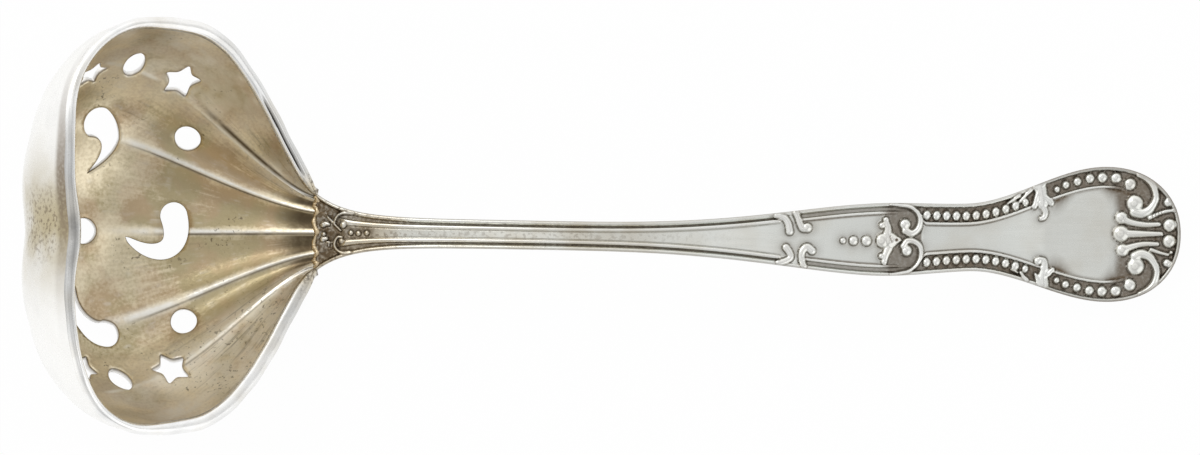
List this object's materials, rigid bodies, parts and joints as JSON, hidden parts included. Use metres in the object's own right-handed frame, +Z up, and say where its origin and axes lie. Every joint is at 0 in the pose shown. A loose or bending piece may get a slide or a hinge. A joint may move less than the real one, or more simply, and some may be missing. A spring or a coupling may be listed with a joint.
{
  "type": "sugar sifter spoon",
  "caption": "Ladle-shaped sugar sifter spoon: fluted, pierced, gilt-lined bowl with a rim wire, on an arched die-struck handle with beads, scrolls and a palmette end.",
  "frame": {"origin": "on the table, under the middle of the spoon's bounding box", "axes": "+X from the bowl to the tip of the handle, +Y across the bowl, +Z up from the table with the bowl's mouth facing up and towards the handle"},
  "size_m": [0.1492, 0.0534, 0.0325],
  "materials": {
    "silver": "polished silver, bright on the raised parts and dark in the recesses",
    "gilt_silver": "silver sheet with a worn, satin gilt lining"
  },
  "bodies": {
    "root": {"bowl_shell": "gilt_silver", "rim_wire": "silver", "neck_solder": "silver", "handle": "silver"}
  },
  "joints": []
}
